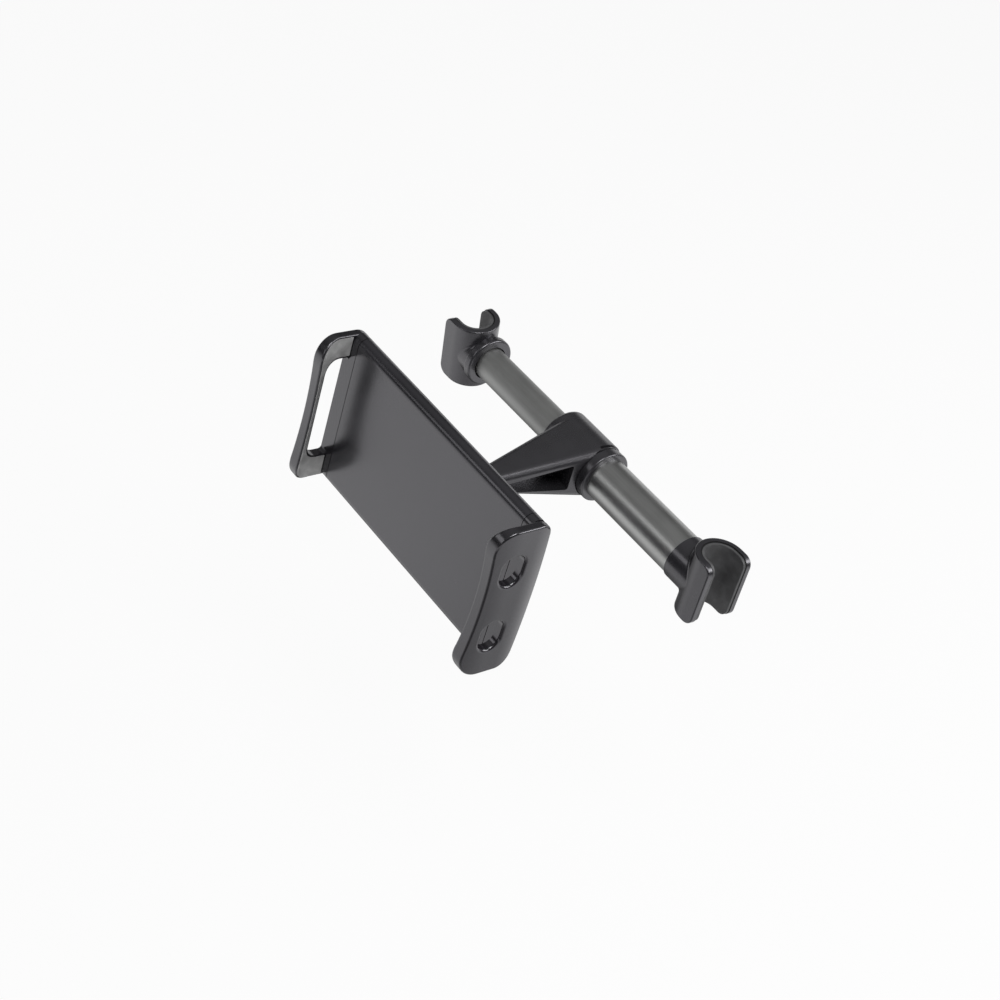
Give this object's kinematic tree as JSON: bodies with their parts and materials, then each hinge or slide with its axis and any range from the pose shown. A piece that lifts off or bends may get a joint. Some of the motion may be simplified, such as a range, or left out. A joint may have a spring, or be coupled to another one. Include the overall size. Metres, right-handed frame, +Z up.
{
  "type": "headrest tablet mount",
  "caption": "Sprung telescopic bar that sits between two headrest posts, with a bracket arm, a ball joint and a self-centring spring holder for a tablet.",
  "frame": {"origin": "on the rod's axis, in line with the middle of the tablet holder", "axes": "+X along the rod towards the thick tube's hook, -Y from the rod to the holder's front, +Z up"},
  "size_m": [0.1724, 0.1066, 0.0681],
  "materials": {
    "black_plastic": "satin moulded",
    "tube": "satin anodised, gunmetal",
    "rubber": "matt",
    "nylon": "moulded, semi-matt",
    "steel": "plated",
    "spring_steel": "drawn wire"
  },
  "bodies": {
    "rod": {"outer_tube": "tube", "right_hook": "black_plastic", "right_pad": "rubber", "collar_ring": "black_plastic", "guide_bush": "nylon", "rod_spring": "spring_steel"},
    "slider": {"inner_tube": "tube", "piston": "nylon", "end_plug": "nylon", "hook_screw": "steel"},
    "left_cradle": {"left_hook": "black_plastic", "left_pad": "rubber"},
    "bracket": {"bracket_arm": "black_plastic", "ball_stud": "steel"},
    "socket_liner": {"ball_liner": "nylon"},
    "nut": {"lock_nut": "black_plastic"},
    "holder": {"front_panel": "black_plastic", "back_cover": "black_plastic", "cover_screws": "steel", "right_jaw_spring": "spring_steel", "left_jaw_spring": "spring_steel"},
    "right_clamp": {"right_jaw": "black_plastic"},
    "left_clamp": {"left_jaw": "black_plastic"},
    "gear": {"pinion": "nylon"}
  },
  "joints": [
    {"name": "rod_slide", "type": "slide", "parent": "rod", "child": "slider", "axis": [1, 0, 0], "range_m": [0, 0.04], "stiffness_N_per_m": 250, "springref_m": -0.03, "deforming": ["rod_spring"]},
    {"name": "hook_turn", "type": "hinge", "parent": "slider", "child": "left_cradle", "pos_m": [-0.078, 0, 0], "axis": [1, 0, 0], "continuous": true},
    {"name": "arm_turn", "type": "hinge", "parent": "rod", "child": "bracket", "pos_m": [0, 0, 0], "axis": [1, 0, 0], "continuous": true},
    {"name": "ball_yaw", "type": "hinge", "parent": "bracket", "child": "socket_liner", "pos_m": [0, -0.06098, -0.0016], "axis": [0, 0, 1], "range_deg": [-20, 20]},
    {"name": "ball_tilt", "type": "hinge", "parent": "socket_liner", "child": "nut", "pos_m": [0, -0.06098, -0.0016], "axis": [1, 0, 0], "range_deg": [-20, 20]},
    {"name": "ball_roll", "type": "hinge", "parent": "nut", "child": "holder", "pos_m": [0, -0.06098, -0.0016], "axis": [0, 1, 0], "continuous": true},
    {"name": "right_jaw_slide", "type": "slide", "parent": "holder", "child": "right_clamp", "axis": [1, 0, 0], "range_m": [0, 0.04], "stiffness_N_per_m": 120, "springref_m": -0.03, "deforming": ["right_jaw_spring"]},
    {"name": "left_jaw_slide", "type": "slide", "parent": "holder", "child": "left_clamp", "axis": [-1, 0, 0], "range_m": [0, 0.04], "deforming": ["left_jaw_spring"]},
    {"name": "pinion_turn", "type": "hinge", "parent": "holder", "child": "gear", "pos_m": [0, -0.07605, -0.0016], "axis": [0, 1, 0], "range_deg": [0, 382]}
  ],
  "couplings": [
    {"joint": "left_jaw_slide", "follows": "right_jaw_slide", "ratio": 1},
    {"joint": "pinion_turn", "follows": "right_jaw_slide", "rad_per_m": 166.67}
  ]
}
